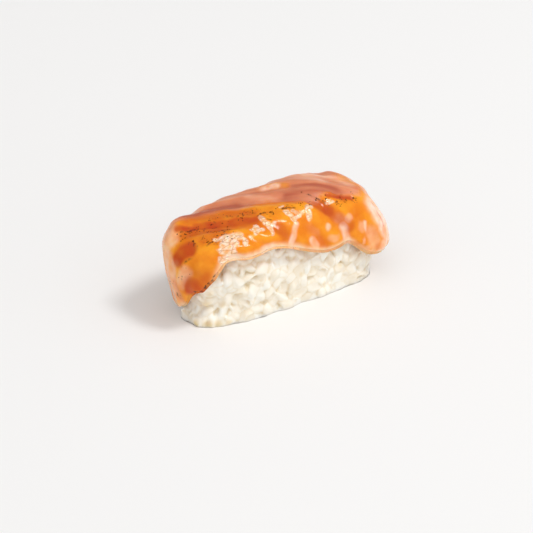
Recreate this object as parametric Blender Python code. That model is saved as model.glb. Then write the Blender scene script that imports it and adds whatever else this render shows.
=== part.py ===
"""Salmon nigiri: a hand-pressed bed of sushi rice under one draped slice of seared salmon.

Metres, +Z up. +X runs along the bed towards the end that the slice overhangs, -Y is the side
that shows most rice, and the origin is under the middle of the whole, on the surface it rests on.
"""

import math

import bmesh
import bpy
from mathutils import Vector, noise

MM = 0.001

# The bed of rice: a loaf that is widest at its belly and flat underneath.
BED_LEFT = 30.6 * MM  # half-lengths, from the middle of the loaf to each end
BED_RIGHT = 31.5 * MM
BED_HALF_WIDTH = 12.4 * MM
BED_HEIGHT = 25.6 * MM
BELLY_LEFT = 11.0 * MM  # height of the belly at each end
BELLY_RIGHT = 8.9 * MM
TAPER_END = 0.03  # shares of its length and width that the loaf loses from the belly to the base
TAPER_LEFT = 0.16
TAPER_RIGHT = 0.08
WAIST_LEFT = 0.065  # share that the left end draws in, under the tip of the slice
WAIST_LOW, WAIST_HIGH = 6.0 * MM, 17.0 * MM
LEAN = 2.0 * MM  # the crown leans back by this over the whole height
PLAN_LEFT_POWER = 2.7  # superellipse powers of the outline seen from above
PLAN_RIGHT_POWER = 5.0
LEFT_POWER = 4.8  # the same for the shoulders
RIGHT_POWER = 2.0
LUMP_DEPTH = 1.5 * MM  # how far the hollows between clumps of grains go in
LUMP_SPACING = 5.2 * MM

# The slice of salmon: how much further than the bed it reaches, and how far it clears it.
GAP = 0.5 * MM
SLICE_LEFT = 3.3 * MM
SLICE_RIGHT = 4.7 * MM
SLICE_SIDE = 2.9 * MM
SLICE_TOP = 5.8 * MM
TONGUE_GAP = 1.6 * MM  # the overhanging end stands this far off the rice
RIM_ROUND = 0.8 * MM

# The slice's flakes: lobes between grooves, which run slantwise over the crown and turn straight
# down the sides, because they lie on nearly upright planes. Each flake rises like a terrace from
# the groove on its -Y side.
FLAKE_SLANT = 1.7  # distance along the bed for each unit across it
CROWN_START, CROWN_SPACING = -23.6 * MM, 11.2 * MM  # of the grooves, along the bed
SIDE_START, SIDE_SPACING = -24.7 * MM, 8.6 * MM
FLAKE_WANDER = 0.15  # how far a groove strays, as a share of the spacing
WANDER_LENGTH = 16.0 * MM
SIDE_DEPTH = 0.8 * MM
CROWN_DEPTH = 1.2 * MM
CROWN_SHARES = {-1: 0.7, 0: 1.0, 1: 0.2, 2: 1.0, 3: 0.5}  # of that depth, groove by groove
OTHER_SHARE = 0.4
RISE_REACH, DROP_REACH = 4.2 * MM, 2.7 * MM  # how far a groove's two flanks reach over the crown
SIDE_REACH = 2.4 * MM

# How the crown rises and dips along the loaf: places in millimetres and shares of the height.
CROWN = (
    (-34.0, 0.890),
    (-15.0, 0.910),
    (-5.0, 0.936),
    (3.0, 0.954),
    (16.0, 1.024),
    (22.0, 1.055),
    (28.0, 1.120),
    (34.0, 1.150),
)

# Height of the slice's lower edge round the loaf, in millimetres: 0 is the front left corner,
# 1 the front right one, 2 the back right one and 3 the back left one.
RIM = (
    (0.00, 22.5),
    (0.10, 24.2),
    (0.22, 23.4),
    (0.36, 23.8),
    (0.45, 22.0),
    (0.53, 19.4),
    (0.64, 16.0),
    (0.77, 15.6),
    (0.82, 12.6),
    (0.87, 9.6),
    (1.00, 7.8),
    (1.50, 8.0),
    (2.00, 10.5),
    (2.30, 15.5),
    (2.70, 14.0),
    (3.00, 11.5),
    (3.16, 7.8),
    (3.32, 4.9),
    (3.52, 7.6),
    (3.62, 10.6),
    (3.74, 14.0),
    (3.87, 18.5),
)

# Mesh: faces along each axis.
BED_FACES = (34, 14, 12)
UPPER_FACES = (38, 16, 7)
UNDER_FACES = (38, 16, 4)


def smooth_step(value):
    """0 below 0, 1 above 1, and an S-curve between."""
    t = min(1.0, max(0.0, value))
    return t * t * (3.0 - 2.0 * t)


def hill(value):
    """A smooth hill: 1 at 0, falling off on both sides to 0 at -1 and 1."""
    return smooth_step(1 - abs(value))


def curve(stations, place):
    """The value at a place on a smooth curve through stations of (place, value)."""
    last = len(stations) - 1
    i = max([k for k in range(last) if stations[k][0] <= place] or [0])
    (p1, h1), (p2, h2) = stations[i], stations[i + 1]
    p0, h0 = stations[max(0, i - 1)]
    p3, h3 = stations[min(last, i + 2)]
    t = min(1, max(0, (place - p1) / (p2 - p1)))
    slope1 = (h2 - h0) / (p2 - p0) * (p2 - p1)
    slope2 = (h3 - h1) / (p3 - p1) * (p2 - p1)
    return (
        (2 * t**3 - 3 * t**2 + 1) * h1
        + (t**3 - 2 * t**2 + t) * slope1
        + (3 * t**2 - 2 * t**3) * h2
        + (t**3 - t**2) * slope2
    )


def rim_height(place):
    """Height of the slice's lower edge at a place round the loaf. The edge closes on itself."""
    before = [(p - 4, h) for p, h in RIM[-2:]]
    after = [(p + 4, h) for p, h in RIM[:2]]
    return curve(before + list(RIM) + after, place) * MM


def rim_place(x, y):
    """Where a point on the rim of the unit square lies, as RIM counts it."""
    if y <= -1 + 1e-6:
        return (x + 1) / 2
    if x >= 1 - 1e-6:
        return 1 + (y + 1) / 2
    if y >= 1 - 1e-6:
        return 2 + (1 - x) / 2
    return 3 + (1 - y) / 2


class Loaf:
    """A rounded loaf that one skin of the bed or of the slice follows."""

    def __init__(self, left, right, half_width, height):
        self.left, self.right = left, right
        self.half_width, self.height = half_width, height

    @staticmethod
    def blend(x, left, right):
        """What changes from left to right along the loaf, where x goes from -1 to 1."""
        return left + (right - left) * smooth_step((x + 1) / 2)

    def place(self, x, y, out, z):
        """The point at height z, a share out of the full outline, in the direction (x, y)."""
        power = self.blend(x, PLAN_LEFT_POWER, PLAN_RIGHT_POWER)
        reach = max(1e-9, (abs(x) ** power + abs(y) ** power) ** (1 / power))
        sink = max(0, 1 - z / self.blend(x, BELLY_LEFT, BELLY_RIGHT)) ** 1.5
        if x < 0:
            waist_end = WAIST_HIGH if z > WAIST_LOW else 0
            draw_in = WAIST_LEFT * hill((z - WAIST_LOW) / (waist_end - WAIST_LOW))
            along = out * x / reach * self.left * (1 - draw_in)
        else:
            along = out * x / reach * self.right * (1 - TAPER_END * sink)
        across = out * y / reach * self.half_width
        across *= 1 - self.blend(x, TAPER_LEFT, TAPER_RIGHT) * sink
        across += LEAN * (z / BED_HEIGHT - 0.5)
        z *= curve(CROWN, along / MM)
        return Vector((along, across, z))

    def top(self, x, y):
        """A point of the crown, from (0, 0) in the middle to its border on the unit square."""
        belly = self.blend(x, BELLY_LEFT, BELLY_RIGHT)
        power = self.blend(x, LEFT_POWER, RIGHT_POWER)
        out = max(abs(x), abs(y)) * 0.5 ** (1 / power)
        rise = (1 - out**power) ** (1 / power)
        return self.place(x, y, out, belly + (self.height - belly) * rise)

    def side(self, x, y, level, lowest):
        """A point of the side: level 0 is the crown's border, and 1 is at the height lowest."""
        belly = self.blend(x, BELLY_LEFT, BELLY_RIGHT)
        power = self.blend(x, LEFT_POWER, RIGHT_POWER)
        shoulder = belly + (self.height - belly) * 0.5 ** (1 / power)
        z = shoulder + (lowest - shoulder) * level
        rise = max(0, (z - belly) / (self.height - belly))
        return self.place(x, y, (1 - rise**power) ** (1 / power), z)

    def base(self, x, y):
        """A point of the flat underside."""
        return self.place(x, y, max(abs(x), abs(y)), 0)


def grid_box(bm, faces):
    """A box from -1 to 1 each way, whose sides are grids of quads."""
    bmesh.ops.create_cube(bm, size=2)
    for axis, count in enumerate(faces):
        edges = [e for e in bm.edges if abs(e.verts[0].co[axis] - e.verts[1].co[axis]) > 1.9]
        bmesh.ops.subdivide_edges(bm, edges=edges, cuts=count - 1, use_grid_fill=True)


def add_object(name, bm, colour, roughness):
    mesh = bpy.data.meshes.new(name)
    bm.to_mesh(mesh)
    bm.free()
    mesh.shade_smooth()
    obj = bpy.data.objects.new(name, mesh)
    bpy.context.scene.collection.objects.link(obj)
    material = bpy.data.materials.new(name)
    material.use_nodes = True
    shader = material.node_tree.nodes["Principled BSDF"]
    shader.inputs["Base Color"].default_value = (*colour, 1)
    shader.inputs["Roughness"].default_value = roughness
    shader.inputs["Metallic"].default_value = 0
    mesh.materials.append(material)
    return obj


def rice_bed():
    """The pressed rice, out to its lumpy outline. Its hollows go in from the loaf's outline."""
    loaf = Loaf(BED_LEFT, BED_RIGHT, BED_HALF_WIDTH, BED_HEIGHT)
    bm = bmesh.new()
    grid_box(bm, BED_FACES)
    for v in bm.verts:
        x, y, z = v.co
        if z >= 1 - 1e-6:
            v.co = loaf.top(x, y)
        elif z <= -1 + 1e-6:
            v.co = loaf.base(x, y)
        else:
            v.co = loaf.side(x, y, (1 - z) / 2, 0)
    bm.normal_update()
    hollows = [0.5 - 0.5 * min(1, max(-1, 1.6 * noise.noise(v.co / LUMP_SPACING))) for v in bm.verts]
    moves = [-v.normal * LUMP_DEPTH * h for v, h in zip(bm.verts, hollows)]
    for v, move in zip(bm.verts, moves):
        if v.co.z < 1e-6:
            move.z = 0
        v.co += move
    return add_object("rice", bm, (0.87, 0.85, 0.78), 0.5)


def groove(point, normal):
    """How deep the slice's grooves go in at a point."""
    steep = smooth_step(1.8 * (1 - normal.z))
    across = Vector((1, FLAKE_SLANT, 0))
    along = point.dot(across)
    over = (along - CROWN_START) / CROWN_SPACING
    down = (along - SIDE_START) / SIDE_SPACING
    flake = over + (down - over) * steep + FLAKE_WANDER * noise.noise(point / WANDER_LENGTH)
    below = math.floor(flake)
    spread = (across - normal * across.dot(normal)).length
    width = (CROWN_SPACING + (SIDE_SPACING - CROWN_SPACING) * steep) / spread
    rise = (flake - below) * width
    drop = (below + 1 - flake) * width
    rise_depth = CROWN_SHARES.get(below, OTHER_SHARE) * hill(rise / RISE_REACH)
    drop_depth = CROWN_SHARES.get(below + 1, OTHER_SHARE) * hill(drop / DROP_REACH)
    crown_depth = CROWN_DEPTH * max(rise_depth, drop_depth)
    side_depth = SIDE_DEPTH * hill(min(rise, drop) / SIDE_REACH)
    return crown_depth + (side_depth - crown_depth) * steep


def add_skin(bm, loaf, faces, grooved):
    """Adds one skin of the slice to bm: its crown, and its sides down to the rim."""
    skin = bmesh.new()
    grid_box(skin, faces)
    floor = [f for f in skin.faces if f.calc_center_median().z < -1 + 1e-6]
    bmesh.ops.delete(skin, geom=floor, context="FACES")
    for v in skin.verts:
        x, y, z = v.co
        if z >= 1 - 1e-6:
            v.co = loaf.top(x, y)
        else:
            v.co = loaf.side(x, y, (1 - z) / 2, rim_height(rim_place(x, y)))
    if grooved:
        skin.normal_update()
        moves = [-v.normal * groove(v.co, v.normal) for v in skin.verts]
        for v, move in zip(skin.verts, moves):
            v.co += move
    mesh = bpy.data.meshes.new("skin")
    skin.to_mesh(mesh)
    skin.free()
    bm.from_mesh(mesh)
    bpy.data.meshes.remove(mesh)


def salmon_slice():
    """The slice: an upper and an under skin with a rounded rim between them."""
    under = Loaf(BED_LEFT + GAP, BED_RIGHT + TONGUE_GAP, BED_HALF_WIDTH + GAP, BED_HEIGHT + GAP)
    upper = Loaf(
        BED_LEFT + SLICE_LEFT, BED_RIGHT + SLICE_RIGHT, BED_HALF_WIDTH + SLICE_SIDE, BED_HEIGHT + SLICE_TOP
    )
    bm = bmesh.new()
    add_skin(bm, under, UNDER_FACES, grooved=False)
    bmesh.ops.reverse_faces(bm, faces=bm.faces)
    add_skin(bm, upper, UPPER_FACES, grooved=True)
    rims = {v for e in bm.edges if e.is_boundary for v in e.verts}
    bridge = bmesh.ops.bridge_loops(bm, edges=[e for e in bm.edges if e.is_boundary])
    bmesh.ops.subdivide_edges(bm, edges=bridge["edges"], cuts=1)
    middle = {v for f in bridge["faces"] if f.is_valid for v in f.verts} - rims
    for v in middle:
        v.co.z -= RIM_ROUND
    bmesh.ops.recalc_face_normals(bm, faces=bm.faces)
    return add_object("salmon", bm, (0.86, 0.33, 0.10), 0.25)


def centre(objects):
    """Moves the meshes so that the origin is under the middle of the box round them all."""
    points = [v.co for obj in objects for v in obj.data.vertices]
    middle = [(min(p[axis] for p in points) + max(p[axis] for p in points)) / 2 for axis in (0, 1)]
    for point in points:
        point.x -= middle[0]
        point.y -= middle[1]


def main():
    for obj in list(bpy.data.objects):
        bpy.data.objects.remove(obj)
    centre([rice_bed(), salmon_slice()])


main()
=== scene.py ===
"""Salmon nigiri: grains of sushi rice pressed round a core, under a seared and glazed slice.

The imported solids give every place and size. Metres, +Z up; -Y is the side that shows most rice,
and the slice overhangs the rice at +X. Places along the slice are written in millimetres.
"""

import math
import random

import bmesh
import bpy
import numpy as np
from mathutils import Matrix, Vector, kdtree, noise
from mathutils.bvhtree import BVHTree


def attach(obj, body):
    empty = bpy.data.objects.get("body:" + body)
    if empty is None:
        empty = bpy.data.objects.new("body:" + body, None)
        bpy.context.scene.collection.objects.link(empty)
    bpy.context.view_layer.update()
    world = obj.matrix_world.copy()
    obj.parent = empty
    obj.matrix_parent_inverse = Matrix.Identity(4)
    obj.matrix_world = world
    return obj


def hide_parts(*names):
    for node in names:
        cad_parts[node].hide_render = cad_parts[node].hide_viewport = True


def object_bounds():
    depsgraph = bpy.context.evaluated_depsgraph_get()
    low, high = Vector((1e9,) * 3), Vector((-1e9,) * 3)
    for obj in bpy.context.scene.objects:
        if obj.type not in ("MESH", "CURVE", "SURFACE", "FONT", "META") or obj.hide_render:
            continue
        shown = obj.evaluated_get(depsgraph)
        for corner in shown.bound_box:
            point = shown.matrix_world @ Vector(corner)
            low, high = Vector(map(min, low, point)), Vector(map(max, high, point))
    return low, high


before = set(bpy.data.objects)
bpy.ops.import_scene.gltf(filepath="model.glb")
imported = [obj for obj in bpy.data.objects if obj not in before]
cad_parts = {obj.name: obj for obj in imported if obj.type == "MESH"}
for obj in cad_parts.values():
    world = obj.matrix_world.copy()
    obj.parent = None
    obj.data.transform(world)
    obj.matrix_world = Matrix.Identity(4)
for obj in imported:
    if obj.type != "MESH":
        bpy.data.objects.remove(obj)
cad_low, cad_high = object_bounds()

# ---- Rice core ----------------------------------------------------------------------------
# The inside of the pressed bed, where boiled short-grain rice is squeezed into one mass. It is
# the bed's own form drawn in, with the relief of packed grains, and it makes the bottom of the
# gaps between the grains that lie round it, where a warm shade is painted.

MM = 0.001
CORE_DEPTH = 0.6 * MM
CORE_RELIEF = 0.4 * MM
PIT_DEPTH, PIT_SIZE = 1.0 * MM, 3.2 * MM  # crevices that the grains bridge here and there
CORE_SPACING = 3.0 * MM
FOOT_HEIGHT = 2.4 * MM  # up to here the squeezed rice fills the bed out to its outline
FOOT_BELOW = 0.7 * MM  # what reaches below the base before it is made level


def smooth_step(value):
    """0 below 0, 1 above 1 and an S-curve between, for a number or an array."""
    t = np.clip(value, 0.0, 1.0)
    return t * t * (3.0 - 2.0 * t)


def closed_copy(node):
    """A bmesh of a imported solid, with its loose triangles joined into one closed skin."""
    bm = bmesh.new()
    bm.from_mesh(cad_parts[node].data)
    bmesh.ops.remove_doubles(bm, verts=bm.verts, dist=0.001 * MM)
    bm.normal_update()
    return bm


def add_piece(name, bm, material):
    """The piece that a bmesh makes, shaded smooth, on the one body of the part."""
    mesh = bpy.data.meshes.new(name)
    bm.to_mesh(mesh)
    bm.free()
    mesh.shade_smooth()
    mesh.materials.append(material)
    piece = bpy.data.objects.new(name, mesh)
    bpy.context.scene.collection.objects.link(piece)
    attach(piece, "root")
    return piece


def linear(hex_colour):
    """The linear RGBA of an sRGB hex colour."""
    parts = [int(hex_colour[i : i + 2], 16) / 255 for i in (0, 2, 4)]
    return (*[c / 12.92 if c <= 0.04045 else ((c + 0.055) / 1.055) ** 2.4 for c in parts], 1.0)


def add_node(tree, kind, settings=None, links=None, **values):
    """A node of a material: its settings, the values of its sockets, and what links into them."""
    node = tree.nodes.new(kind)
    for name, value in (settings or {}).items():
        setattr(node, name, value)
    for name, value in values.items():
        node.inputs[name.replace("_", " ")].default_value = value
    for name, source in (links or {}).items():
        tree.links.new(source, node.inputs[name])
    return node


def new_material(name):
    """An empty material, its node tree and its shader, wired to the output."""
    material = bpy.data.materials.new(name)
    material.use_nodes = True
    tree = material.node_tree
    tree.nodes.clear()
    shader = add_node(tree, "ShaderNodeBsdfPrincipled")
    add_node(tree, "ShaderNodeOutputMaterial", links={"Surface": shader.outputs["BSDF"]})
    return material, tree, shader


bm = closed_copy("rice")
for v, normal in [(v, v.normal.copy()) for v in bm.verts]:
    v.co -= normal * (CORE_DEPTH * smooth_step(v.co.z / FOOT_HEIGHT))
bmesh.ops.subdivide_edges(bm, edges=bm.edges, cuts=1, use_grid_fill=True)
bm.normal_update()
for v, normal in [(v, v.normal.copy()) for v in bm.verts]:
    nearest = noise.voronoi(v.co / CORE_SPACING)[0][0]
    pit = PIT_DEPTH * smooth_step((noise.noise(v.co / PIT_SIZE) - 0.1) / 0.3) * smooth_step(v.co.z / FOOT_HEIGHT)
    v.co += normal * (CORE_RELIEF * (0.5 - nearest) - pit)
    if v.co.z < 0.3 * MM:
        v.co.z = -FOOT_BELOW
core = bpy.data.meshes.new("rice_core")
bm.to_mesh(core)
bm.free()

# ---- Rice grains --------------------------------------------------------------------------
# Boiled japonica grains, short and plump, pressed by hand. They lie flat along the bed's outline
# in two layers over the core, squashed level at the base. Their own starch sticks them to each
# other and to the core, so they are fused into one skin with soft, shallow gaps.

GRAIN_LENGTH, GRAIN_WIDTH, GRAIN_THICKNESS = 4.9 * MM, 2.7 * MM, 2.3 * MM
GRAIN_SPREAD = 0.14  # how unlike in size the grains are
GRAIN_AROUND, GRAIN_ALONG = 10, 8  # faces of a grain
OUTER_DEPTH, OUTER_SPACING, OUTER_TILT = 0.85 * MM, 2.75 * MM, 0.12
INNER_DEPTH, INNER_SPACING, INNER_TILT = 1.9 * MM, 2.9 * MM, 0.4
GRAIN_TRIES = 9000
GRAIN_FOOT = 1.1 * MM  # how high the middle of the lowest grains lies
GRAIN_PROUD = 0.75 * MM  # how far a grain may stand out of the bed's outline
COVERED_PROUD = 0.4 * MM  # the same where the slice lies on it
COVER_REACH = 4 * MM
STARCH = 0.34 * MM  # the finest gap that the starch leaves open
NEAR_GRAINS = 5
BASE_EDGE_ANGLE = math.radians(30)  # the level base is shaded apart from the sides
SEAM_REACH, SEAM_DEPTH = 0.22, 0.15 * MM  # the seam's half width as a share of a grain, and its depth

# Spots of painted tan shade on the grains, four of them low along the foot: depth, reach and place.
TAN_SHADE_SPOTS = (
    (1.0, 2.2, -30.5, -4.5, 0.8), (1.0, 2.6, -28.2, -7.4, 1.0), (1.0, 2.4, -25.6, -9, 0.8), (0.7, 2.0, -22.6, -9.8, 0.8),
    (0.7, 2.4, -27.9, -6.5, 6.7), (0.6, 2.2, -24.4, -9.2, 7), (0.6, 2.0, -27.4, -7.4, 10.5), (0.8, 1.3, 0.8, -12.5, 9.9),
    (0.7, 1.2, 4.4, -12.3, 6), (0.7, 1.4, 8.6, -12, 4.4), (0.6, 1.3, -4, -12.3, 14), (0.6, 1.4, 14.5, -11.5, 8),
)

rice_skin = closed_copy("rice")
rice_tree = BVHTree.FromBMesh(rice_skin)
slice_tree = BVHTree.FromBMesh(closed_copy("salmon"))
draw = random.Random(11)


def grain_places(depth, spacing, tilt):
    """Scatters grains under the bed's outline: for each its matrix, and whether the slice covers it."""
    faces = list(rice_skin.faces)
    taken = np.zeros((0, 3))
    for face in draw.choices(faces, weights=[f.calc_area() for f in faces], k=GRAIN_TRIES):
        a, b = draw.random(), draw.random()
        shares = (1 - a - b, a, b) if a + b < 1 else (a + b - 1, 1 - a, 1 - b)
        normal = sum((v.normal * s for v, s in zip(face.verts, shares)), Vector()).normalized()
        skin = sum((v.co * s for v, s in zip(face.verts, shares)), Vector())
        spot = skin - normal * depth
        spot.z = max(spot.z, GRAIN_FOOT)
        if len(taken) and np.min(np.linalg.norm(taken - np.array(spot), axis=1)) < spacing:
            continue
        taken = np.vstack([taken, spot])
        covered = slice_tree.ray_cast(skin, normal, COVER_REACH)[0] is not None
        lie = normal.to_track_quat("Z", "X").to_matrix().to_4x4()
        spin = Matrix.Rotation(draw.uniform(0, 2 * math.pi), 4, "Z")
        lean = Matrix.Rotation(draw.gauss(0, tilt * (0.5 if covered else 1)), 4, "Y")
        yield Matrix.Translation(spot) @ lie @ spin @ lean, covered


def shape_grain(verts, matrix, covered):
    """Turns a ball of radius 1 into a grain along X: a spindle, a little bent, with its germ's notch."""
    sizes = (GRAIN_LENGTH, GRAIN_WIDTH, GRAIN_THICKNESS)
    half = [s * draw.uniform(1 - GRAIN_SPREAD, 1 + GRAIN_SPREAD) / 2 for s in sizes]
    bend = draw.uniform(-0.28, 0.28)
    blunt = draw.uniform(0.0, 0.25)
    limit = COVERED_PROUD if covered else GRAIN_PROUD
    for v in verts:
        along, across, up = v.co.z, v.co.x, v.co.y
        fat = 1 + blunt * along
        notch = 1 - 0.22 * max(0.0, 1 - math.dist((along, across, up), (0.85, 0.5, 0)) / 0.7)
        sideways = across * fat * notch + bend * (along * along - 0.3)
        v.co = matrix @ Vector((half[0] * along * notch, half[1] * sideways, half[2] * up * fat))
        near, out, _, _ = rice_tree.find_nearest(v.co)
        proud = max(0.0, (v.co - near).dot(out))
        v.co += out * (limit * math.tanh(proud / limit) - proud)
    return half


places = list(grain_places(OUTER_DEPTH, OUTER_SPACING, OUTER_TILT))
places += grain_places(INNER_DEPTH, INNER_SPACING, INNER_TILT)
bm = bmesh.new()
ball = bmesh.ops.create_uvsphere(bm, u_segments=GRAIN_AROUND, v_segments=GRAIN_ALONG, radius=1)
ball_size = len(ball["verts"])
while len(bm.verts) < len(places) * ball_size:
    bmesh.ops.duplicate(bm, geom=bm.verts[:] + bm.edges[:] + bm.faces[:])
bmesh.ops.delete(bm, geom=bm.verts[len(places) * ball_size :], context="VERTS")
bm.verts.ensure_lookup_table()
halves = np.array([
    shape_grain(bm.verts[i * ball_size : (i + 1) * ball_size], matrix, covered)
    for i, (matrix, covered) in enumerate(places)
])
bm.from_mesh(core)
bmesh.ops.recalc_face_normals(bm, faces=bm.faces)
rice_skin.free()


def finished_mesh(bm, kind, **settings):
    """The mesh that a bmesh gives once a modifier with those settings is applied to it."""
    mesh = bpy.data.meshes.new("raw")
    bm.to_mesh(mesh)
    bm.free()
    raw = bpy.data.objects.new("raw", mesh)
    bpy.context.scene.collection.objects.link(raw)
    modifier = raw.modifiers.new("finish", kind)
    for name, value in settings.items():
        setattr(modifier, name, value)
    made = bpy.data.meshes.new_from_object(raw.evaluated_get(bpy.context.evaluated_depsgraph_get()))
    bpy.data.objects.remove(raw)
    bpy.data.meshes.remove(mesh)
    return made


def soften(bm, times):
    """Evens out a skin: each vertex goes half way to the middle of its neighbours, some times over."""
    for _ in range(times):
        bmesh.ops.smooth_vert(bm, verts=bm.verts, factor=0.5, use_axis_x=True, use_axis_y=True, use_axis_z=True)
    bm.normal_update()


def depth_below(bm, times):
    """How far each vertex lies under its softened neighbourhood, high in gaps and grooves."""
    soft = bm.copy()
    soften(soft, times)
    depths = np.array([(b.co - a.co).dot(a.normal) for a, b in zip(bm.verts, soft.verts)])
    soft.free()
    return depths


def keep_outermost(bm):
    """Deletes the closed voids inside a skin, which are islands of their own."""
    start = max(bm.verts, key=lambda v: v.co.z)
    reached, edge = {start}, [start]
    while edge:
        edge = [w for v in edge for e in v.link_edges if (w := e.other_vert(v)) not in reached]
        edge = list(dict.fromkeys(edge))
        reached.update(edge)
    bmesh.ops.delete(bm, geom=[v for v in bm.verts if v not in reached], context="VERTS")


fused = finished_mesh(bm, "REMESH", mode="VOXEL", voxel_size=STARCH)
bm = bmesh.new()
bm.from_mesh(fused)
keep_outermost(bm)
soften(bm, 4)

# Each vertex belongs to the grain it lies deepest in; where two are near to even there is a seam.
grain_tree = kdtree.KDTree(len(places))
for i, (matrix, _) in enumerate(places):
    grain_tree.insert(matrix.translation, i)
grain_tree.balance()
near_grains = np.array([[found[1] for found in grain_tree.find_n(v.co, NEAR_GRAINS)] for v in bm.verts])
into_grain = np.array([np.array(matrix.inverted())[:3] for matrix, _ in places])
spots = np.array([(*v.co, 1.0) for v in bm.verts])
inside = np.einsum("vgij,vj->vgi", into_grain[near_grains], spots) / halves[near_grains]
how_far = np.linalg.norm(inside, axis=2)
order = np.argsort(how_far, axis=1)
first, second = (np.take_along_axis(how_far, order[:, i : i + 1], axis=1)[:, 0] for i in (0, 1))
owner = np.take_along_axis(near_grains, order[:, :1], axis=1)[:, 0]
seam = smooth_step(1 - (second - first) / SEAM_REACH) * smooth_step(np.array([v.co.z for v in bm.verts]) / MM)
whiteness = np.array([draw.random() for _ in places])[owner]
for v, share in zip(bm.verts, seam):
    v.co -= v.normal * (SEAM_DEPTH * share)
soften(bm, 1)
for v in bm.verts:
    v.co.z = max(v.co.z, 0.0)
bm.normal_update()
for edge in bm.edges:
    if edge.verts[0].co.z == edge.verts[1].co.z == 0.0 and edge.calc_face_angle(0.0) > BASE_EDGE_ANGLE:
        edge.smooth = False
# Painted shade: a warm cream where the skin lies deep in a gap or along a seam between grains, and in the tan spots
# listed above.
crevice_shade = np.maximum(smooth_step(depth_below(bm, 14) / (0.34 * MM)), 0.3 * seam)
for depth, reach, *spot in TAN_SHADE_SPOTS:
    crevice_shade = np.maximum(crevice_shade, depth * smooth_step(1 - np.linalg.norm(spots[:, :3] - np.array(spot) * MM, axis=1) / (reach * MM)))

# Boiled rice: milky starch gel with a wet skin. Light goes a few millimetres into it, so that the
# bed glows as one white mass; the gaps and seams are painted a warm cream shade instead of grey.
boiled_rice, tree, shader = new_material("boiled_rice")
place = add_node(tree, "ShaderNodeTexCoord").outputs["Object"]
milk = add_node(tree, "ShaderNodeTexNoise", links={"Vector": place}, Scale=190.0, Detail=2.0)
whiter = add_node(tree, "ShaderNodeAttribute", {"attribute_name": "whiteness"}).outputs["Fac"]
milky = add_node(tree, "ShaderNodeMath", {"operation": "MULTIPLY_ADD"}, {0: whiter, 2: milk.outputs["Fac"]})
milky.inputs[1].default_value = 0.5
ramp = add_node(tree, "ShaderNodeValToRGB", links={"Fac": milky.outputs["Value"]})
ramp.color_ramp.elements[0].position = 0.40
ramp.color_ramp.elements[0].color = linear("EDE3D0")
ramp.color_ramp.elements[1].position = 1.0
ramp.color_ramp.elements[1].color = linear("F9F4EA")
crevice_shade_fac = add_node(tree, "ShaderNodeAttribute", {"attribute_name": "crevice_shade"}).outputs["Fac"]
# The painted crevice shade, mixed over the grain colour.
shade_mixed = add_node(tree, "ShaderNodeMix", {"data_type": "RGBA"})
tree.links.new(crevice_shade_fac, shade_mixed.inputs["Factor"])
tree.links.new(ramp.outputs["Color"], shade_mixed.inputs[6])
shade_mixed.inputs[7].default_value = linear("E4CE9E")
tree.links.new(shade_mixed.outputs[2], shader.inputs["Base Color"])
pores = add_node(tree, "ShaderNodeTexNoise", links={"Vector": place}, Scale=900.0, Detail=2.0)
bump = add_node(tree, "ShaderNodeBump", links={"Height": pores.outputs["Fac"]}, Strength=0.2, Distance=0.1 * MM)
tree.links.new(bump.outputs["Normal"], shader.inputs["Normal"])
shader.inputs["Roughness"].default_value = 0.38
shader.inputs["IOR"].default_value = 1.42
shader.inputs["Subsurface Weight"].default_value = 1.0
shader.inputs["Subsurface Radius"].default_value = (1.0, 1.0, 1.0)
shader.inputs["Subsurface Scale"].default_value = 1.4 * MM

grains = add_piece("rice_grains", bm, boiled_rice)
for name, mask in {"crevice_shade": crevice_shade, "whiteness": whiteness}.items():
    layer = grains.data.attributes.new(name, "FLOAT", "POINT")
    layer.data.foreach_set("value", mask.astype(np.float32))
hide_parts("rice")

# ---- Salmon slice -------------------------------------------------------------------------
# One slice of raw salmon draped over the bed, brushed with a sweet amber glaze and seared from
# above with a torch. Its flakes part along grooves that show pale fat; the crown is cooked to a
# pinkish brown, and the glaze pools red in the creases.

OUTER_CUTS = 2  # cuts of each outer face's edges: they come down to about 0.3 mm
LOBE_STEPS, LOBE_DEPTH = 110, 0.9 * MM  # the smoothing that tells lobes from the valleys between them
AXIS_HALF, AXIS_HEIGHT = 22 * MM, 8 * MM  # the line inside the bed that tells out from in

bm = closed_copy("salmon")
bmesh.ops.join_triangles(
    bm, faces=bm.faces, angle_face_threshold=math.radians(50), angle_shape_threshold=math.radians(50)
)
rounded = finished_mesh(bm, "SUBSURF", levels=1, render_levels=1)
bm = bmesh.new()
bm.from_mesh(rounded)
bm.normal_update()


def faces_out(place, normal):
    """Whether a place on the slice lies on its outer skin."""
    axis_point = Vector((max(-AXIS_HALF, min(AXIS_HALF, place.x)), 0.4 * MM, AXIS_HEIGHT))
    return (place - axis_point).normalized().dot(normal) > 0.12


outer = [f for f in bm.faces if faces_out(f.calc_center_median(), f.normal)]
bmesh.ops.subdivide_edges(
    bm, edges=list({e for f in outer for e in f.edges}), cuts=OUTER_CUTS, use_grid_fill=True
)
soften(bm, 3)
bm.verts.ensure_lookup_table()
points = np.array([v.co for v in bm.verts])
normals = np.array([v.normal for v in bm.verts])
sunk = depth_below(bm, 30)
# Painted light and shade: 1 on the lobes, which are coloured a brighter orange, 0 in the valleys between them, coloured
# deeper.
lobe_light_shade = smooth_step(0.5 - depth_below(bm, LOBE_STEPS) / LOBE_DEPTH)
groove = smooth_step(sunk / (0.22 * MM))
ridge = smooth_step(-sunk / (0.25 * MM))

# Distance from the lower edge, over the outer skin.
edge_verts = {
    v for e in bm.edges if e.is_manifold
    and faces_out(e.link_faces[0].calc_center_median(), e.link_faces[0].normal)
    != faces_out(e.link_faces[1].calc_center_median(), e.link_faces[1].normal) for v in e.verts
}
edge_tree = kdtree.KDTree(len(edge_verts))
for v in edge_verts:
    edge_tree.insert(v.co, v.index)
edge_tree.balance()
from_edge = np.array([edge_tree.find(v.co)[2] for v in bm.verts])
outside = np.array([float(faces_out(v.co, v.normal)) for v in bm.verts])


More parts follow.
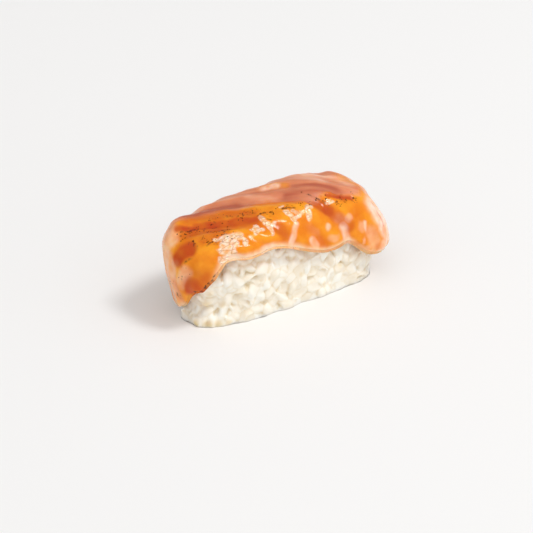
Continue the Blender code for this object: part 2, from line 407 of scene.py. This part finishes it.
def rough_field(size, seed, turbulence=0):
    """Noise from -1 to 1 at every vertex of the slice, with lumps of a size."""
    offset = Vector((seed * 7.3, seed * 3.1, seed * 5.7))
    if turbulence:
        return np.array([noise.fractal(Vector(p) / size + offset, 0.9, 2.1, turbulence) for p in points])
    return np.array([noise.noise(Vector(p) / size + offset) for p in points])


WANDER = 0.5 * MM
wavy = points + WANDER * np.stack([rough_field(2.6 * MM, seed) for seed in (1, 2, 3)], axis=1)


def stroke(reach, *line):
    """1 along a line over the slice, falling to 0 at reach from it, all in millimetres."""
    line = np.array(line if len(line) > 1 else line * 2, float) * MM
    nearest = np.full(len(points), 1.0)
    for start, end in zip(line[:-1], line[1:]):
        run = end - start
        share = np.clip((wavy - start) @ run / max(run @ run, 1e-12), 0, 1)
        nearest = np.minimum(nearest, np.linalg.norm(wavy - start - share[:, None] * run, axis=1))
    return smooth_step(1 - nearest / (reach * MM))


# Where the torch has browned the crown: beyond this line over it, as x and y in millimetres.
SEAR_EDGE = (
    (-32, 6), (-24, 6.5), (-19.5, 5), (-14.7, 3.8), (-11.3, 1.2), (-7.4, 0.2), (-4.7, 0.8), (-2, 0.4), (1, -1.8),
    (3, -4), (5.5, -5.5), (8, -7.5), (10, -7.3), (11.5, -6.3), (14, -6.6), (20, -7.6), (23, -7.4), (26, -6.6), (30, -6),
)
FLAKE_RUN = Vector((0.87, -0.49, 0.0))  # the way that the flakes run over the crown
STREAK_LENGTH, STREAK_WIDTH = 14 * MM, 2.0 * MM


def streaks(seed):
    """Noise from -1 to 1 at every vertex, drawn out along the flakes."""
    along = points @ np.array(FLAKE_RUN) / STREAK_LENGTH
    across = points @ np.array(FLAKE_RUN.cross(Vector((0, 0, 1)))) / STREAK_WIDTH
    coarse = [noise.noise(Vector((a, c, seed))) for a, c in zip(along, across)]
    fine = [noise.noise(Vector((2 * a, 2.6 * c, seed + 5))) for a, c in zip(along, across)]
    return np.array(coarse) + 0.35 * np.array(fine)


facing_up = smooth_step((normals[:, 2] - 0.45) / 0.35)
sides = 1 - facing_up
streak = streaks(3)
edge_y = np.interp(wavy[:, 0], [p[0] * MM for p in SEAR_EDGE], [p[1] * MM for p in SEAR_EDGE])
sear = smooth_step((wavy[:, 1] - edge_y + 1.2 * MM * streak) / (2.4 * MM) + 0.5) * facing_up
for opened, *line in (
    (0.8, 2.4, (0.5, 6.4, 29.1), (4, 4.8, 29.8)),
    (0.75, 2.6, (2, 7.5, 29), (4, 5.5, 29.8), (6, 3, 30)),
    (0.65, 5.5, (25.5, 1, 26.4), (27.5, -2, 25.4), (28.5, -5, 24)),
    (0.9, 1.6, (13.5, -7, 28.6), (17.5, -7.5, 27.4), (21, -8, 26.2)),
):
    sear *= 1 - opened * stroke(*line)

# How pale the browned protein is, with its sheen painted in: pink on the ridges and along the lightening strokes, mauve
# in between, both drawn into streaks.
blush_and_sheen = 0.5 + 0.4 * streak + 0.25 * (ridge - groove)
for shade, *line in (
    # Strokes with a plus shade paint sheen as pale streaks, over the crown and along its top-left edge; those with a
    # minus shade make it mauve.
    (0.4, 2.0, (-5, 5, 28.6), (-1, 1.2, 29.2), (2, -0.3, 29.4)),
    (0.5, 2.6, (15, 5.5, 29.8), (18, 3.8, 29.5), (21, 2.5, 28.3), (23, 0, 27.5), (23.5, -3, 26.5)),
    (0.35, 4.0, (-30, 9, 23.5), (-24, 11.5, 25), (-16, 12, 26)),
    (-0.5, 4.0, (-24, 8.2, 27), (-17, 6.8, 28), (-11, 4.2, 28.4)),
    (-0.45, 4.6, (3, -2, 29.3), (7.5, -2.4, 30), (12, -3.4, 30.1), (17, -5.6, 28.5)),
    (-0.2, 4.0, (-2, 4.5, 29), (2, 2, 29.8), (7, 0.5, 30.3)),
    (0.25, 4.0, (3, 7, 29), (10, 4.5, 30), (16, 0.5, 30)),
):
    blush_and_sheen += shade * stroke(*line)
blush_and_sheen = np.clip(blush_and_sheen, 0, 1)

# Pale fat and thin places: in the side grooves, at both ends and along the lower edge. Two of the
# fat strokes are painted highlights on the front lobes, and the thin edge is painted less pale
# where it faces down, as shade.
FAT_AND_HIGHLIGHT_LINES = (
    (0.85, 1.4, (0, -11, 26.2), (-2, -12.5, 25), (-3.5, -13.2, 22), (-4.2, -13.8, 19.5)),
    (0.75, 1.9, (3.5, -13.9, 20.9), (4.4, -14.5, 18.8)),
    # A painted highlight on a front lobe.
    (0.6, 1.6, (9.4, -13.2, 22.8)),
    (0.8, 2.0, (14.6, -13, 21.6), (15.4, -14, 18.5), (15.8, -14.2, 15.5)),
    # A painted highlight on a front lobe.
    (0.55, 1.8, (17.8, -12.2, 22.9), (16.7, -12.7, 22.7)),
    (0.8, 0.8, (22.9, -12.7, 20), (22.3, -13.2, 17.5), (20.6, -15, 14.5)),
    (1.0, 4.8, (27.4, -9.8, 22.6), (28.6, -11.6, 19.2), (30, -12.4, 15.5), (32.4, -11, 12.4)),
    (1.0, 5.0, (31, -8, 20), (32.5, -6, 14), (33, 0, 14)),
    (1.0, 3.4, (29.6, -12.3, 16.5), (30.4, -12.8, 12.5), (28.4, -14.2, 10)),
    (0.3, 4.0, (24.4, -13.6, 16.2), (25.3, -14.3, 12.3)),
    (0.4, 4.0, (27.8, 0, 25), (28.4, -4, 24.2), (28.2, -8, 23.2)),
    (0.5, 2.2, (-13, -13.4, 22.5), (-10, -13.5, 22.8)),
    (0.55, 4.8, (-30.4, 8.6, 23.5), (-33.2, 5.6, 20.8), (-34.6, 2.2, 17.8), (-34.4, 2, 12), (-33, 0.6, 7)),
    (0.5, 3.6, (-30.3, 6.8, 24.6), (-31.6, 4.2, 23.8)),
    (0.45, 3.0, (-33.4, -4.9, 18.6), (-34.2, -3.7, 16.6), (-34.4, -2.9, 14.2)),
    (0.5, 2.0, (-22, -11.4, 22.5), (-18, -12.6, 22)),
    (0.9, 2.4, (0.5, 6.4, 29.1), (4, 4.8, 29.8)),
)
ORANGE_SPOTS = ((2.4, (-33.4, -1.4, 10), (-33, 0, 7)),)
fat = 0.6 * groove * sides * (0.5 + 0.6 * rough_field(5 * MM, 5))
for strength, *line in FAT_AND_HIGHLIGHT_LINES:
    fat = np.maximum(fat, strength * smooth_step(1.35 * stroke(*line)))
marbled = smooth_step(1.8 * rough_field(3.4 * MM, 31) - 0.2) * smooth_step(points[:, 0] / (12 * MM))
fat = np.maximum(fat, 0.4 * marbled * sides)
for spot in ORANGE_SPOTS:
    fat *= 1 - 0.6 * stroke(*spot)
fat *= 0.92 + 0.3 * rough_field(1.8 * MM, 8)
on_left_lobe = smooth_step((-26 * MM - points[:, 0]) / (5 * MM)) * smooth_step(-points[:, 1] / (4 * MM))
thin = smooth_step(1 - from_edge / (2.9 * MM)) * (0.8 + 0.35 * rough_field(4 * MM, 6)) * (1 - 0.9 * on_left_lobe)
# The pale thin edge, painted only half as pale where it faces down, as shade.
rim = smooth_step(1.2 * thin) * (0.5 + 0.5 * smooth_step((normals[:, 2] + 0.55) / 0.45))

# Where the heat has crumpled the glaze into a pale, crackled film, with the key light's highlight painted on it near
# white.
PAINTED_HIGHLIGHT_PATCHES = (
    (0.7, (-24.5, -6.1, 26.2), (-21.5, -6.6, 27)),
    (1.6, (-21.6, -7.6, 27), (-18.4, -8.6, 27.2)),
    (0.6, (-18.2, -8.2, 27.4), (-17.3, -10, 26.3), (-17.8, -11.6, 25.3)),
    (1.6, (-23.4, -8.9, 26), (-20.8, -9.9, 25.9)),
    (1.4, (-24.4, -9.8, 24.8), (-22.2, -11, 24.2)),
    (1.1, (-25.7, -10.9, 22.6), (-24.2, -11.2, 23)),
    (0.6, (-13.9, -8.3, 27.4), (-11.4, -7.8, 27.4)),
    (0.9, (-13.2, -9.6, 27), (-11.3, -9.4, 27.1)),
    (0.8, (-9, -6.2, 28.5), (-8.4, -8.6, 27.3), (-8.4, -10, 26.8), (-9.1, -11.6, 26)),
    (0.6, (-6.4, -9.2, 27.3), (-8.2, -10.2, 26.8)),
    (0.9, (-1.1, -7.8, 28.4), (-0.4, -9.6, 27.4), (-0.3, -10.6, 26.7)),
    (0.6, (1.9, -9.5, 27.4), (-0.1, -10, 27)),
    (0.9, (5.8, -8.7, 28.2), (5.2, -9.8, 27.5), (4, -10.9, 26)),
    (0.6, (5.2, -8.3, 28.6), (7, -8.5, 28.1)),
    (0.4, (11.9, -8.8, 27.6), (13.8, -9.2, 27.2)),
    (0.45, (-1.4, -5.3, 29.3), (-0.9, -5.2, 29.3)),
    (0.6, (0.9, -8, 28.4), (1.6, -8.6, 28.2)),
)
ragged = wavy + 0.45 * MM * np.stack([rough_field(1.1 * MM, seed) for seed in (21, 22, 23)], axis=1)
smooth_places, wavy = wavy, ragged
crumple_highlight = np.zeros(len(points))
for reach, *line in PAINTED_HIGHLIGHT_PATCHES:
    crumple_highlight = np.maximum(crumple_highlight, smooth_step(2.2 * stroke(reach * 1.35, *line)))
crumple_highlight *= 0.8 + 0.3 * rough_field(1.3 * MM, 16)
wavy = smooth_places

# Where the glaze pools deep and red.
POOLS = (
    (1.0, 1.5, (-29, 5, 25.7), (-26.5, 2.7, 26.3), (-23.6, 0.6, 26.8), (-20.6, -0.9, 27.2)),
    (0.9, 3.4, (-24.4, 2.4, 27), (-19.2, -1, 27.5), (-14, -3.6, 28), (-10.8, -5.6, 28.2)),
    (0.5, 5.5, (-24.6, 5.5, 27.2), (-17.6, 1.3, 28.2), (-11.3, -2.9, 28.7)),
    (0.55, 5.5, (-28, 1, 26), (-25, -2.5, 26.6), (-21, -4.5, 27)),
    (1.0, 5.0, (-33.1, -6.6, 13), (-33, -7, 15), (-32.2, -8.2, 15.6)),
    (0.5, 4.4, (-32, -7.8, 18), (-30.6, -9.2, 18.6)),
    (0.85, 3.0, (8, -6.4, 28.6), (9.6, -8.3, 27.5), (12.2, -10.4, 25.6)),
    (0.6, 3.2, (12.2, -10.4, 25.6), (14.1, -12, 23.9), (16.8, -13.5, 21)),
    (1.0, 1.5, (13.5, -7, 28.6), (17.5, -7.5, 27.4), (21, -8, 26.2)),
    (0.45, 3.4, (-6, -10.8, 26.5), (-5.4, -12, 24.5)),
    (0.5, 0.5, (27.8, -8.8, 23.4), (29.1, -11.2, 19.5), (30, -12.3, 16.2)),
)
pool = np.maximum(smooth_step(1.6 * stroke(4.1, (-33.7, -1.2, 21.2), (-32.4, -1.6, 23), (-31.2, -2.6, 24.2))), 0)
for depth, *line in POOLS:
    pool = np.maximum(pool, depth * smooth_step(1.1 * stroke(*line)))
pool = np.maximum(pool, 0.5 * groove * facing_up * (1 - sear))
pool = np.clip(pool * (0.95 + 0.25 * rough_field(2.2 * MM, 10)), 0, 1)

# Where the torch left char: broken lines on raised skin and thin edges, and specks round them.
CHAR_LINES = (
    (0.5, (-33.2, -4.2, 21.3), (-32.4, -5, 22.6), (-31.7, -5.3, 23.4)),
    (0.35, (-29.7, -2.9, 25), (-29.2, -1.7, 25.7), (-30.3, -1.2, 25.2)),
    (0.4, (-28, -6.4, 25.6), (-25.5, -6, 26.2)),
    (0.45, (-29.3, 4, 25.5), (-26, 1.8, 26.4), (-23.6, 0.2, 26.8), (-20.6, -1.4, 27.3)),
    (1.0, (-33, -7.2, 12.9), (-32.2, -7.9, 13.5), (-30.5, -9.1, 15.7), (-28.8, -10.1, 17.9), (-27.8, -11, 19.8)),
    (0.5, (7.6, -3.2, 30), (9.7, -5.6, 29.1), (11.6, -8.3, 27.7)),
    (0.6, (-1.2, -6.3, 29), (0.1, -6.8, 28.9), (1.8, -7.2, 28.8)),
    (0.35, (-9.6, -5, 28.8), (-7, -4.6, 29), (-4.4, -6, 28.8)),
    (0.35, (-8.6, -6, 28.6), (-6.8, -8, 28)),
    (0.35, (14.4, -9, 27), (16, -9.8, 26)),
    (0.3, (21.7, -8.1, 26.1), (22.8, -8.6, 25.6)),
    (0.4, (-33.6, 0.4, 10.4), (-33, 0, 9)),
    (0.3, (5, -7.9, 28.8), (7.4, -8, 28.4)),
)
CHAR_COVER = 0.42  # the share of places that keep a flake where the char is thickest
SPECK_ZONES = (
    (0.95, 5.0, (-29, 1.2, 25.6), (-25.5, -1.5, 26.6), (-21, -3.6, 27.3)),
    (0.9, 3.0, (-28.5, -4.5, 25.8), (-24, -5.5, 26.4)),
    (0.6, 4.0, (-20, 2, 28), (-14, -1, 28.4), (-9, -3.5, 28.8)),
    (0.6, 2.6, (-7, -5.5, 28.6), (0, -6, 29), (6, -7.5, 28.8)),
    (0.5, 3.0, (12, -8, 28), (18, -8.4, 27), (25, -8.6, 25.3)),
    (0.5, 2.6, (-33.8, -4.5, 19), (-34, -3, 15)),
    (0.35, 4.0, (-33.8, 1, 13), (-33, 0.4, 9)),
)
char = np.zeros(len(points))
for line in CHAR_LINES:
    char = np.maximum(char, stroke(*line))
char *= smooth_step(0.55 + 1.5 * rough_field(0.9 * MM, 9))
specks = np.zeros(len(points))
for strength, *line in SPECK_ZONES:
    specks = np.maximum(specks, strength * stroke(*line))
specks *= smooth_step(0.6 + 1.4 * rough_field(2.4 * MM, 15))

# Where the slice stands out fuller than its solid: round the shoulders of both ends.
FULLER = (
    (1.5, 9.0, (-31, 8, 23.5), (-29, 8, 25.5)),
    (1.4, 8.5, (27, 3, 25), (26.5, -2, 25)),
    (0.7, 5.0, (-27, 7.5, 27.3)),
    (0.7, 4.5, (24, 4, 28)),
)
LOWER = ((2.3, 5.0, (-30.4, -9, 15.6), (-28, -10.5, 18.5)),)  # and where its edge hangs lower
TIP_DROP, TIP_TOP, TIP_X = 2.0 * MM, 13 * MM, -30 * MM  # how far the left end's tip hangs lower

# The relief that the solid leaves out: sharp creases, blisters, soft lumps and a thinner edge.
relief = -0.32 * MM * groove**3
relief += 0.10 * MM * rough_field(4.5 * MM, 12) + 0.05 * MM * rough_field(1.6 * MM, 13)
relief += 0.09 * MM * sear * streaks(7)
blister = np.array([noise.voronoi(Vector(p) / (1.7 * MM))[0] for p in wavy])
blister = np.clip(blister[:, 1] - blister[:, 0], 0, 0.6) / 0.6
relief += 0.13 * MM * crumple_highlight * (blister - 0.35)
relief -= 0.25 * MM * pool**2 * facing_up
relief -= 0.55 * MM * smooth_step(1 - from_edge / (3.0 * MM))
relief += 0.10 * MM * thin * rough_field(1.8 * MM, 14)
relief -= 0.12 * MM
for fuller, *line in FULLER:
    relief += fuller * MM * stroke(*line)
drop = TIP_DROP * smooth_step(1 - points[:, 2] / TIP_TOP) * smooth_step((TIP_X - points[:, 0]) / (2 * MM))
drop *= smooth_step((points[:, 1] + 5.5 * MM) / (3 * MM))
for lower, *line in LOWER:
    drop = np.maximum(drop, lower * MM * stroke(*line))
for v, move, fall in zip(bm.verts, relief * outside, drop):
    v.co += v.normal * move
    v.co.z -= fall
    v.co = Vector([min(max(c, low), high) for c, low, high in zip(v.co, cad_low, cad_high)])

bm.normal_update()
char_spots = [
    (v.co.copy(), v.normal.copy()) for v, chance in zip(bm.verts, np.maximum(char, 0.22 * specks) * outside)
    if draw.random() < CHAR_COVER * chance
]

# Salmon flesh under a sugar glaze. The flesh is bright orange with paler fat, painted brighter on
# the lobes and deeper in the valleys as light and shade; the crown's protein is cooked to a satin
# pinkish brown with a painted sheen; the glaze over all is clear amber, red where it is deep, and
# painted near white as a highlight where it is crumpled.
glazed_salmon, tree, shader = new_material("glazed_salmon")
place = add_node(tree, "ShaderNodeTexCoord").outputs["Object"]
LAYERS = {
    "lobe_light_shade": lobe_light_shade, "fat": fat, "rim": rim, "pool": pool, "blush_and_sheen": blush_and_sheen, "sear": sear,
    "crumple_highlight": 0.9 * crumple_highlight, "specks": specks, "char": char,
}
masks = {name: add_node(tree, "ShaderNodeAttribute", {"attribute_name": name}).outputs["Fac"] for name in LAYERS}
GLAZE_ROUGHNESS, SEAR_ROUGHNESS = 0.13, 0.34
FLESH_MOTTLE = 1 / (4.5 * MM)
GLAZE_RIPPLE = 1 / (1.1 * MM)
CRACK_SPACING = 1 / (1.9 * MM)
SPECK_SPACING = 1 / (1.25 * MM)
broad = add_node(tree, "ShaderNodeTexNoise", links={"Vector": place}, Scale=FLESH_MOTTLE, Detail=3.0).outputs["Fac"]
ripple = add_node(tree, "ShaderNodeTexNoise", links={"Vector": place}, Scale=GLAZE_RIPPLE, Detail=3.0)

# Cracks of the crumpled film, drawn out along the slice and wandering.
crazed = add_node(tree, "ShaderNodeMapping", {"vector_type": "POINT"}, {"Vector": place})
crazed.inputs["Rotation"].default_value = (0.0, 0.0, math.radians(25))
crazed.inputs["Scale"].default_value = (0.45, 1.3, 1.0)
warped = add_node(
    tree, "ShaderNodeVectorMath", {"operation": "MULTIPLY_ADD"}, {0: ripple.outputs["Color"], 2: crazed.outputs["Vector"]}
)
warped.inputs[1].default_value = (0.9 * MM, 0.9 * MM, 0.9 * MM)
cells = add_node(
    tree, "ShaderNodeTexVoronoi", {"feature": "DISTANCE_TO_EDGE"}, {"Vector": warped.outputs["Vector"]},
    Scale=CRACK_SPACING,
)
cracks = add_node(
    tree, "ShaderNodeMapRange", links={"Value": cells.outputs["Distance"]},
    From_Min=0.08, From_Max=0.02, To_Min=0.0, To_Max=0.75,
)
cracked = add_node(tree, "ShaderNodeMath", {"operation": "MULTIPLY"}, {0: cracks.outputs["Result"], 1: masks["crumple_highlight"]})
dots = add_node(tree, "ShaderNodeTexVoronoi", links={"Vector": place}, Scale=SPECK_SPACING)
dark_dots = add_node(
    tree, "ShaderNodeMapRange", links={"Value": dots.outputs["Distance"]},
    From_Min=0.34, From_Max=0.18, To_Min=0.0, To_Max=1.0,
)
dotted = add_node(tree, "ShaderNodeMath", {"operation": "MULTIPLY"}, {0: dark_dots.outputs["Result"], 1: masks["specks"]})

# The coats from the flesh up: where each lies, what its tone follows, and its tones.
COATS = (
    (None, broad, ((0.38, "DA6200"), (0.64, "E67A04"))),
    # Painted light and shade: brighter orange on the lobes than in the valleys.
    (masks["lobe_light_shade"], broad, ((0.38, "EB8A06"), (0.64, "F6A41E"))),
    # Pale fat, and the painted highlights on two front lobes.
    (masks["fat"], broad, ((0.35, "F9B68A"), (0.65, "FFE2D0"))),
    # The pale thin edge, with painted shade where it faces down.
    (masks["rim"], broad, ((0.35, "FFCC98"), (0.65, "FFE2C6"))),
    # The pool's red is painted deeper in the valleys as shade, lighter on the lobes.
    (masks["pool"], masks["lobe_light_shade"], ((0.2, "B83E04"), (0.9, "C84C06"))),
    # Browned protein, its palest tone a painted sheen.
    (masks["sear"], masks["blush_and_sheen"], ((0.0, "B65C40"), (0.5, "DA8760"), (1.0, "F2B898"))),
    # Painted highlight on the crumpled film: near white.
    (masks["crumple_highlight"], ripple.outputs["Fac"], ((0.42, "FFF3DF"), (0.66, "F8C890"))),
    (cracked.outputs["Value"], broad, ((0.35, "B8652A"), (0.65, "CE8036"))),
    (dotted.outputs["Value"], broad, ((0.35, "5A2A10"), (0.65, "6A3414"))),
    (masks["char"], broad, ((0.35, "34190E"), (0.65, "42200F"))),
)
for mask, tone, stops in COATS:
    ramp = add_node(tree, "ShaderNodeValToRGB", links={"Fac": tone})
    while len(ramp.color_ramp.elements) < len(stops):
        ramp.color_ramp.elements.new(1.0)
    for element, (at, shade) in zip(ramp.color_ramp.elements, stops):
        element.position, element.color = at, linear(shade)
    if mask is None:
        colour = ramp.outputs["Color"]
        continue
    coat = {"Factor": mask, 6: colour, 7: ramp.outputs["Color"]}
    colour = add_node(tree, "ShaderNodeMix", {"data_type": "RGBA"}, coat).outputs[2]
tree.links.new(colour, shader.inputs["Base Color"])
gloss = add_node(
    tree, "ShaderNodeMapRange", links={"Value": masks["sear"]}, To_Min=GLAZE_ROUGHNESS, To_Max=SEAR_ROUGHNESS
)
tree.links.new(gloss.outputs["Result"], shader.inputs["Roughness"])
bump = add_node(tree, "ShaderNodeBump", links={"Height": ripple.outputs["Fac"]}, Strength=0.25, Distance=0.15 * MM)
tree.links.new(bump.outputs["Normal"], shader.inputs["Normal"])
shader.inputs["IOR"].default_value = 1.34
shader.inputs["Subsurface Weight"].default_value = 0.35
shader.inputs["Subsurface Radius"].default_value = (1.0, 0.4, 0.15)
shader.inputs["Subsurface Scale"].default_value = 1.5 * MM

salmon = add_piece("salmon_slice", bm, glazed_salmon)
for name, mask in LAYERS.items():
    layer = salmon.data.attributes.new(name, "FLOAT", "POINT")
    layer.data.foreach_set("value", np.clip(mask, 0, 1).astype(np.float32))
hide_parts("salmon")

# ---- Char flakes --------------------------------------------------------------------------
# Crumbs of burnt glaze and skin that the torch left on raised lines, thin edges and blisters.
# They are dry carbon, thin and ragged, baked flat onto the glaze.

FLAKE_SIZE = (0.08 * MM, 0.25 * MM)  # half of the least and of the greatest
FLAKE_THICKNESS = 0.12 * MM
FLAKE_RAGGED = 0.35

bm = bmesh.new()
for spot, normal in char_spots:
    size = draw.uniform(*FLAKE_SIZE)
    shape = Matrix.Diagonal((size, size * draw.uniform(0.45, 1.0), FLAKE_THICKNESS, 1))
    spin = Matrix.Rotation(draw.uniform(0, 2 * math.pi), 4, "Z")
    place = Matrix.Translation(spot) @ normal.to_track_quat("Z", "X").to_matrix().to_4x4() @ spin @ shape
    crumb = bmesh.ops.create_icosphere(bm, subdivisions=1, radius=1)["verts"]
    for v in crumb:
        v.co = place @ (v.co * draw.uniform(1 - FLAKE_RAGGED, 1 + FLAKE_RAGGED))
        v.co = Vector([min(max(c, low), high) for c, low, high in zip(v.co, cad_low, cad_high)])

# Charred glaze: nearly black carbon with a brown, barely glossy edge.
charred_glaze, tree, shader = new_material("charred_glaze")
place = add_node(tree, "ShaderNodeTexCoord").outputs["Object"]
ash = add_node(tree, "ShaderNodeTexNoise", links={"Vector": place}, Scale=GLAZE_RIPPLE, Detail=2.0)
ramp = add_node(tree, "ShaderNodeValToRGB", links={"Fac": ash.outputs["Fac"]})
for element, (at, shade) in zip(ramp.color_ramp.elements, ((0.35, "26120A"), (0.7, "66341A"))):
    element.position, element.color = at, linear(shade)
tree.links.new(ramp.outputs["Color"], shader.inputs["Base Color"])
shader.inputs["Roughness"].default_value = 0.8
shader.inputs["Specular IOR Level"].default_value = 0.0

flakes = add_piece("char_flakes", bm, charred_glaze)

# ---- Stage, light and camera --------------------------------------------------------------
# A pale matt sweep, a white room, one soft key from the front right, and a long lens that looks
# down on the side that shows most rice.

FLOOR_HALF = 1.6
FLOOR_GAP = 0.02 * MM
KEY_DIRECTION = Vector((0.34, -0.40, 0.85)).normalized()
KEY_DISTANCE, KEY_SIZE, KEY_POWER = 1.5, 0.36, 8.1
ROOM_BRIGHT_SIDE = Vector((-0.30, -0.75, 0.60)).normalized()
ROOM_DIM, ROOM_BRIGHT = 0.40, 0.95
CAMERA_AZIMUTH, CAMERA_ELEVATION = math.radians(-36.0), math.radians(29.4)
CAMERA_AIM = Vector((0.1, 3.7, 5.4)) * MM
CAMERA_DISTANCE = 0.846

bm = bmesh.new()
bmesh.ops.create_grid(bm, x_segments=1, y_segments=1, size=FLOOR_HALF)
bmesh.ops.translate(bm, verts=bm.verts, vec=(0, 0, -FLOOR_GAP))
mesh = bpy.data.meshes.new("floor")
bm.to_mesh(mesh)
bm.free()
floor = bpy.data.objects.new("floor", mesh)
bpy.context.scene.collection.objects.link(floor)
paper, tree, shader = new_material("matt_paper")
shader.inputs["Base Color"].default_value = linear("F2F1F0")
shader.inputs["Roughness"].default_value = 0.9
mesh.materials.append(paper)

world = bpy.data.worlds.new("white_room")
bpy.context.scene.world = world
world.use_nodes = True
tree = world.node_tree
ray = add_node(tree, "ShaderNodeTexCoord").outputs["Generated"]
side = add_node(tree, "ShaderNodeVectorMath", {"operation": "DOT_PRODUCT"}, {0: ray})
side.inputs[1].default_value = ROOM_BRIGHT_SIDE
glow = add_node(
    tree, "ShaderNodeMapRange", {"interpolation_type": "SMOOTHSTEP"}, {"Value": side.outputs["Value"]},
    From_Min=-0.4, From_Max=0.9, To_Min=ROOM_DIM, To_Max=ROOM_BRIGHT,
)
tree.nodes["Background"].inputs["Color"].default_value = linear("FFFFFF")
tree.links.new(glow.outputs["Result"], tree.nodes["Background"].inputs["Strength"])

key = bpy.data.objects.new("key", bpy.data.lights.new("key", "AREA"))
key.data.shape = "SQUARE"
key.data.size = KEY_SIZE
key.data.energy = KEY_POWER
key.location = KEY_DIRECTION * KEY_DISTANCE
key.rotation_euler = KEY_DIRECTION.to_track_quat("Z", "Y").to_euler()
bpy.context.scene.collection.objects.link(key)

camera = bpy.data.objects.new("camera", bpy.data.cameras.new("camera"))
back = Vector((
    math.sin(CAMERA_AZIMUTH) * math.cos(CAMERA_ELEVATION),
    -math.cos(CAMERA_AZIMUTH) * math.cos(CAMERA_ELEVATION),
    math.sin(CAMERA_ELEVATION),
))
camera.data.lens = 200
camera.data.sensor_width = 36
camera.location = CAMERA_AIM + back * CAMERA_DISTANCE
camera.rotation_euler = back.to_track_quat("Z", "Y").to_euler()
bpy.context.scene.collection.objects.link(camera)
bpy.context.scene.camera = camera
bpy.context.scene.view_settings.view_transform = "Standard"
bpy.context.scene.view_settings.look = "None"
